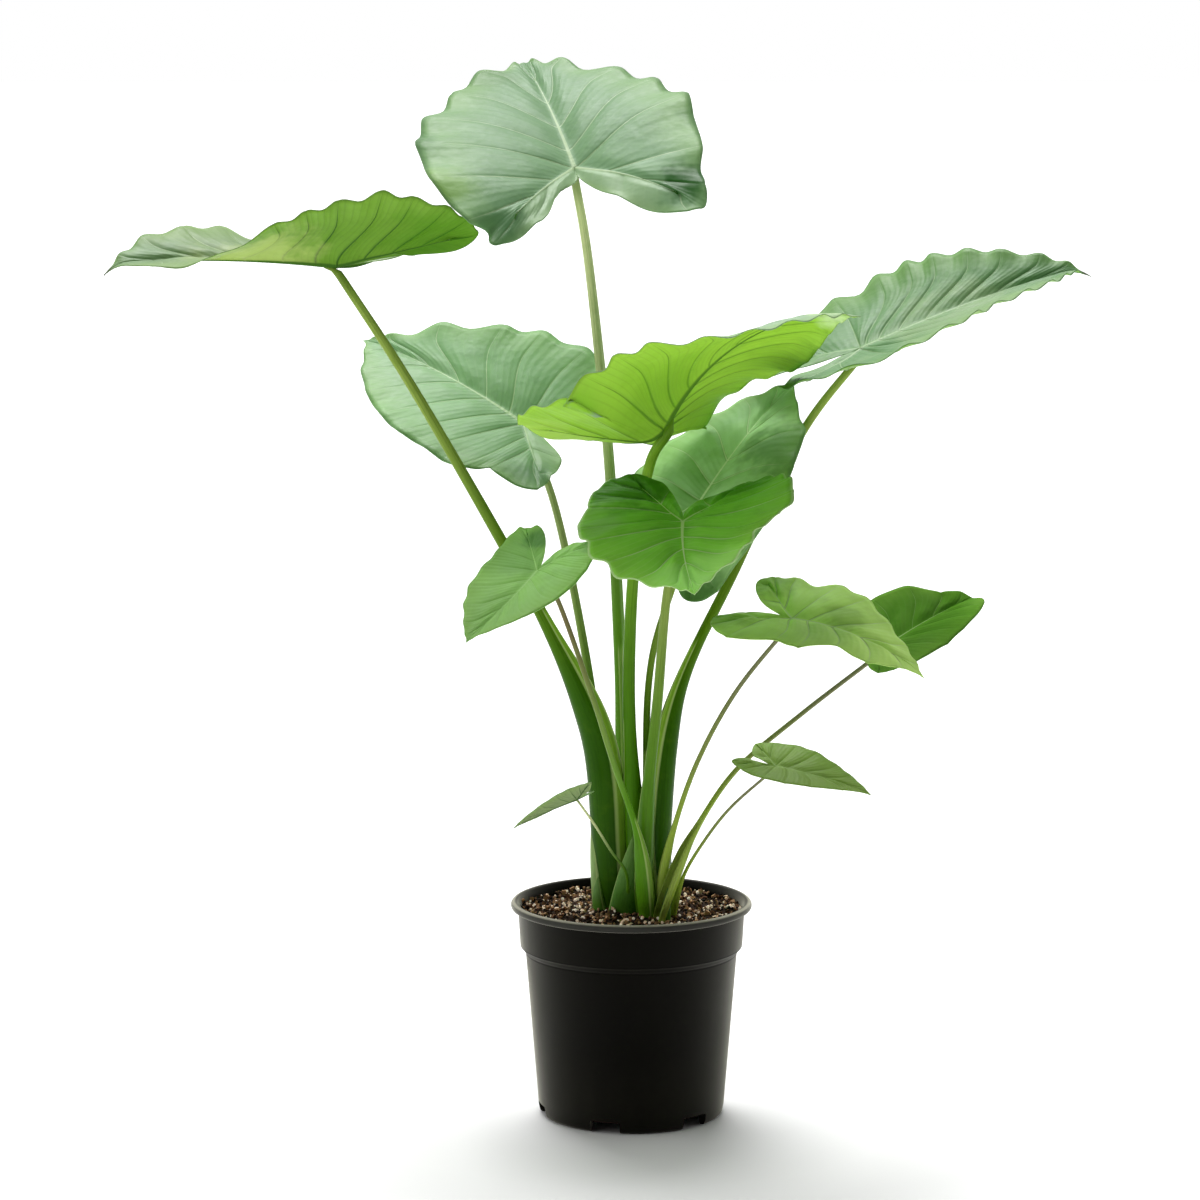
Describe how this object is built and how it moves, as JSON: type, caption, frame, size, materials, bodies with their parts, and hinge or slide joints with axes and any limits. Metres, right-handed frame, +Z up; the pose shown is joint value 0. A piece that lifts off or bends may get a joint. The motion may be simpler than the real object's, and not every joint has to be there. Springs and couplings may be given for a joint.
{
  "type": "potted alocasia",
  "caption": "Tall foliage plant with large heart-shaped leaves on long upright stalks, growing in a round tapered black nursery pot.",
  "frame": {"origin": "on the floor under the centre of the pot, at the middle of its underside", "axes": "+Z up along the pot's axis; the plant's showy side faces -Y, and +X is to the right as it is seen from there"},
  "size_m": [1.0944, 0.7271, 1.1798],
  "materials": {
    "black_plastic": "matt black moulded plastic, faintly scuffed",
    "potting_mix": "dark crumbly peat and bark with pale grains",
    "rootstock": "brown fibrous skin",
    "stalk_green": "smooth fleshy green stalk with a soft sheen",
    "blade_green": "waxy green leaf with raised veins, satin"
  },
  "bodies": {
    "root": {"nursery_pot": "black_plastic", "potting_mix": "potting_mix", "rootstock": "rootstock", "leaf_stalk_top": "stalk_green", "leaf_blade_top": "blade_green", "leaf_stalk_left": "stalk_green", "leaf_blade_left": "blade_green", "leaf_stalk_right": "stalk_green", "leaf_blade_right": "blade_green", "leaf_stalk_bright": "stalk_green", "leaf_blade_bright": "blade_green", "leaf_stalk_back_left": "stalk_green", "leaf_blade_back_left": "blade_green", "leaf_stalk_dark": "stalk_green", "leaf_blade_dark": "blade_green", "leaf_stalk_front": "stalk_green", "leaf_blade_front": "blade_green", "leaf_stalk_low_left": "stalk_green", "leaf_blade_low_left": "blade_green", "leaf_stalk_low_right": "stalk_green", "leaf_blade_low_right": "blade_green", "leaf_stalk_far_right": "stalk_green", "leaf_blade_far_right": "blade_green", "leaf_stalk_small_right": "stalk_green", "leaf_blade_small_right": "blade_green", "leaf_stalk_small_left": "stalk_green", "leaf_blade_small_left": "blade_green"}
  },
  "joints": []
}
